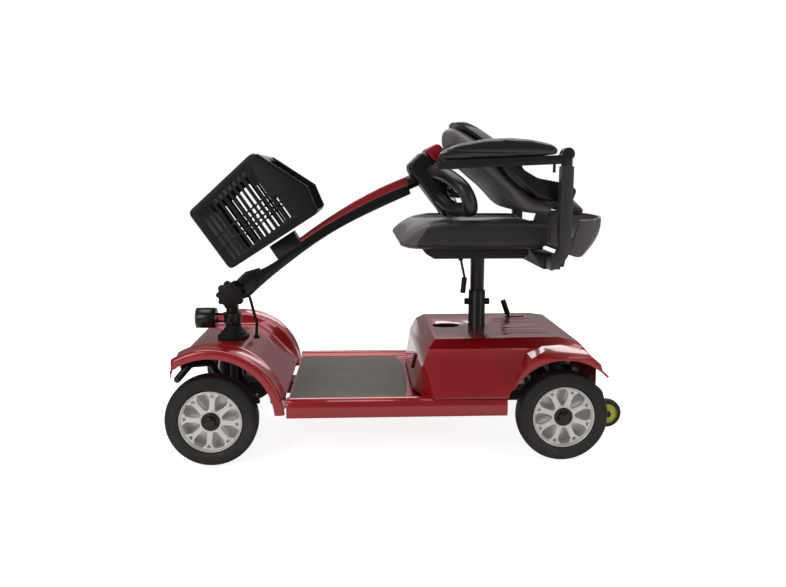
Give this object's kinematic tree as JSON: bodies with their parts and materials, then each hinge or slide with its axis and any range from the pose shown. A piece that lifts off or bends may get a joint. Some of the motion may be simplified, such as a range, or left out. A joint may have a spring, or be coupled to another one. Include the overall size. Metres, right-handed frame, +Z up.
{
  "type": "mobility scooter",
  "caption": "Folding four-wheel travel mobility scooter with laid-back tiller, hand loops, front basket, padded folding seat, flip-up armrests and rear anti-tip wheels.",
  "frame": {"origin": "on the ground, under the middle of the bounding box", "axes": "+X forward, +Y to the rider's left, +Z up"},
  "size_m": [1.056, 0.524, 0.753],
  "materials": {
    "red_gloss": "gloss",
    "black_plastic": "satin",
    "black_steel": "satin",
    "black_rubber": "satin",
    "mat_rubber": "satin",
    "tyre_black": "satin",
    "rim_silver": "satin",
    "hub_yellow": "gloss",
    "grip_black": "satin",
    "key_steel": "satin",
    "horn_red": "gloss",
    "vinyl_black": "satin",
    "vinyl_grey": "satin",
    "pad_black": "satin",
    "lamp_clear": "gloss"
  },
  "bodies": {
    "chassis": {"front_frame": "black_steel", "rear_frame": "black_steel", "front_shroud": "red_gloss", "floor_pan": "red_gloss", "floor_mat": "mat_rubber", "rear_cover": "red_gloss", "cover_trim": "black_plastic", "battery_packs": "black_plastic", "controller": "black_plastic", "transaxle": "black_steel", "seat_receiver": "black_steel", "front_bumper": "black_steel", "anti_tip_arms": "black_steel", "steering_boot": "black_rubber"},
    "steering": {"steering_post": "black_steel", "headlamp_bracket": "black_steel", "headlamp_body": "black_plastic", "headlamp_lens": "lamp_clear", "wiring_harness": "black_rubber"},
    "tie_rod_body": {"tie_rod": "black_steel"},
    "knuckle_left_body": {"knuckle_left": "black_steel"},
    "knuckle_right_body": {"knuckle_right": "black_steel"},
    "wheel_front_left": {"tyre_front_left": "tyre_black", "rim_front_left": "rim_silver"},
    "wheel_front_right": {"tyre_front_right": "tyre_black", "rim_front_right": "rim_silver"},
    "wheel_rear_left": {"tyre_rear_left": "tyre_black", "rim_rear_left": "rim_silver"},
    "wheel_rear_right": {"tyre_rear_right": "tyre_black", "rim_rear_right": "rim_silver"},
    "anti_tip_left": {"anti_tip_wheel_left": "hub_yellow"},
    "anti_tip_right": {"anti_tip_wheel_right": "hub_yellow"},
    "tiller": {"tiller_column": "black_plastic", "tiller_trim": "red_gloss", "head_shell": "black_plastic", "head_cover": "red_gloss", "handle_loops": "grip_black"},
    "throttle": {"throttle_lever": "black_plastic"},
    "key": {"ignition_key": "key_steel"},
    "dial": {"speed_dial": "black_plastic"},
    "horn": {"horn_button": "horn_red"},
    "fold_clamp": {"fold_knob": "black_plastic"},
    "basket_body": {"basket": "black_plastic"},
    "post": {"seat_post": "black_steel"},
    "post_clamp": {"post_knob": "black_plastic"},
    "seat": {"seat_pan": "black_steel", "seat_cushion": "vinyl_black", "seat_bucket": "vinyl_grey"},
    "swivel_handle": {"swivel_lever": "black_steel"},
    "back": {"backrest_shell": "vinyl_grey", "backrest_cushion": "vinyl_black"},
    "arm_frame_left_body": {"arm_frame_left": "black_steel"},
    "arm_frame_right_body": {"arm_frame_right": "black_steel"},
    "arm_left": {"arm_bar_left": "black_steel", "arm_pad_left": "pad_black"},
    "arm_right": {"arm_bar_right": "black_steel", "arm_pad_right": "pad_black"},
    "arm_clamp_left": {"arm_knob_left": "black_plastic"},
    "arm_clamp_right": {"arm_knob_right": "black_plastic"},
    "freewheel": {"freewheel_lever": "black_plastic"}
  },
  "joints": [
    {"name": "steering_turn", "type": "hinge", "parent": "chassis", "child": "steering", "pos_m": [0.416, 0, 0.2], "axis": [0, 0, 1], "range_deg": [-8, 8]},
    {"name": "knuckle_left_turn", "type": "hinge", "parent": "chassis", "child": "knuckle_left_body", "pos_m": [0.428, 0.165, 0.1], "axis": [0, 0, 1], "range_deg": [-8, 8]},
    {"name": "knuckle_right_turn", "type": "hinge", "parent": "chassis", "child": "knuckle_right_body", "pos_m": [0.428, -0.165, 0.1], "axis": [0, 0, 1], "range_deg": [-8, 8]},
    {"name": "tie_rod_turn", "type": "hinge", "parent": "steering", "child": "tie_rod_body", "pos_m": [0.366, 0, 0.068], "axis": [0, 0, 1], "range_deg": [-8, 8]},
    {"name": "wheel_front_left_spin", "type": "hinge", "parent": "knuckle_left_body", "child": "wheel_front_left", "pos_m": [0.428, 0.226, 0.1], "axis": [0, 1, 0], "continuous": true},
    {"name": "wheel_front_right_spin", "type": "hinge", "parent": "knuckle_right_body", "child": "wheel_front_right", "pos_m": [0.428, -0.226, 0.1], "axis": [0, 1, 0], "continuous": true},
    {"name": "wheel_rear_left_spin", "type": "hinge", "parent": "chassis", "child": "wheel_rear_left", "pos_m": [-0.336, 0.226, 0.1], "axis": [0, 1, 0], "continuous": true},
    {"name": "wheel_rear_right_spin", "type": "hinge", "parent": "chassis", "child": "wheel_rear_right", "pos_m": [-0.336, -0.226, 0.1], "axis": [0, 1, 0], "continuous": true},
    {"name": "anti_tip_left_spin", "type": "hinge", "parent": "chassis", "child": "anti_tip_left", "pos_m": [-0.493, 0.064, 0.048], "axis": [0, 1, 0], "continuous": true},
    {"name": "anti_tip_right_spin", "type": "hinge", "parent": "chassis", "child": "anti_tip_right", "pos_m": [-0.493, -0.064, 0.048], "axis": [0, 1, 0], "continuous": true},
    {"name": "tiller_fold", "type": "hinge", "parent": "steering", "child": "tiller", "pos_m": [0.412, 0, 0.343], "axis": [0, 1, 0], "range_deg": [0, 45], "deforming": ["wiring_harness"]},
    {"name": "fold_knob_turn", "type": "hinge", "parent": "tiller", "child": "fold_clamp", "pos_m": [0.412, 0.04, 0.343], "axis": [0, 1, 0], "continuous": true},
    {"name": "basket_lift", "type": "slide", "parent": "tiller", "child": "basket_body", "axis": [-0.8431, 0, 0.5377], "range_m": [0, 0.04]},
    {"name": "throttle_swing", "type": "hinge", "parent": "tiller", "child": "throttle", "pos_m": [-0.0993, 0, 0.59362], "axis": [-0.7071, 0, 0.7071], "range_deg": [-12, 12], "stiffness_Nm_per_rad": 1.5},
    {"name": "key_turn", "type": "hinge", "parent": "tiller", "child": "key", "pos_m": [-0.08869, 0.027, 0.65655], "axis": [-0.7071, 0, -0.7071], "range_deg": [0, 60]},
    {"name": "dial_turn", "type": "hinge", "parent": "tiller", "child": "dial", "pos_m": [-0.08869, 0, 0.65655], "axis": [-0.7071, 0, -0.7071], "range_deg": [-135, 135]},
    {"name": "horn_press", "type": "slide", "parent": "tiller", "child": "horn", "axis": [0.7071, 0, 0.7071], "range_m": [0, 0.003], "stiffness_N_per_m": 400},
    {"name": "seat_height", "type": "slide", "parent": "chassis", "child": "post", "axis": [0, 0, 1], "range_m": [-0.005, 0]},
    {"name": "post_knob_turn", "type": "hinge", "parent": "chassis", "child": "post_clamp", "pos_m": [-0.155, 0, 0.316], "axis": [1, 0, 0], "continuous": true},
    {"name": "seat_swivel", "type": "hinge", "parent": "post", "child": "seat", "pos_m": [-0.18, 0, 0.43], "axis": [0, 0, 1], "range_deg": [-6, 6]},
    {"name": "swivel_lever_pull", "type": "hinge", "parent": "seat", "child": "swivel_handle", "pos_m": [-0.138, 0, 0.4243], "axis": [0, 1, 0], "range_deg": [-25, 0], "stiffness_Nm_per_rad": 0.6},
    {"name": "backrest_fold", "type": "hinge", "parent": "seat", "child": "back", "pos_m": [-0.378, 0, 0.519], "axis": [0, 1, 0], "range_deg": [-55, 0]},
    {"name": "arm_width_left", "type": "slide", "parent": "seat", "child": "arm_frame_left_body", "axis": [0, 1, 0], "range_m": [0, 0.05]},
    {"name": "arm_flip_left", "type": "hinge", "parent": "arm_frame_left_body", "child": "arm_left", "pos_m": [-0.325, 0.24, 0.665], "axis": [0, 1, 0], "range_deg": [-90, 0]},
    {"name": "arm_knob_left_turn", "type": "hinge", "parent": "seat", "child": "arm_clamp_left", "pos_m": [-0.335, 0.175, 0.4345], "axis": [1, 0, 0], "continuous": true},
    {"name": "arm_width_right", "type": "slide", "parent": "seat", "child": "arm_frame_right_body", "axis": [0, -1, 0], "range_m": [0, 0.05]},
    {"name": "arm_flip_right", "type": "hinge", "parent": "arm_frame_right_body", "child": "arm_right", "pos_m": [-0.325, -0.24, 0.665], "axis": [0, 1, 0], "range_deg": [-90, 0]},
    {"name": "arm_knob_right_turn", "type": "hinge", "parent": "seat", "child": "arm_clamp_right", "pos_m": [-0.335, -0.175, 0.4345], "axis": [1, 0, 0], "continuous": true},
    {"name": "freewheel_lever_throw", "type": "hinge", "parent": "chassis", "child": "freewheel", "pos_m": [-0.2955, -0.1, 0.215], "axis": [0, 1, 0], "range_deg": [-35, 0]}
  ],
  "couplings": [
    {"joint": "knuckle_left_turn", "follows": "steering_turn", "ratio": 1},
    {"joint": "knuckle_right_turn", "follows": "steering_turn", "ratio": 1},
    {"joint": "tie_rod_turn", "follows": "steering_turn", "ratio": -1}
  ]
}
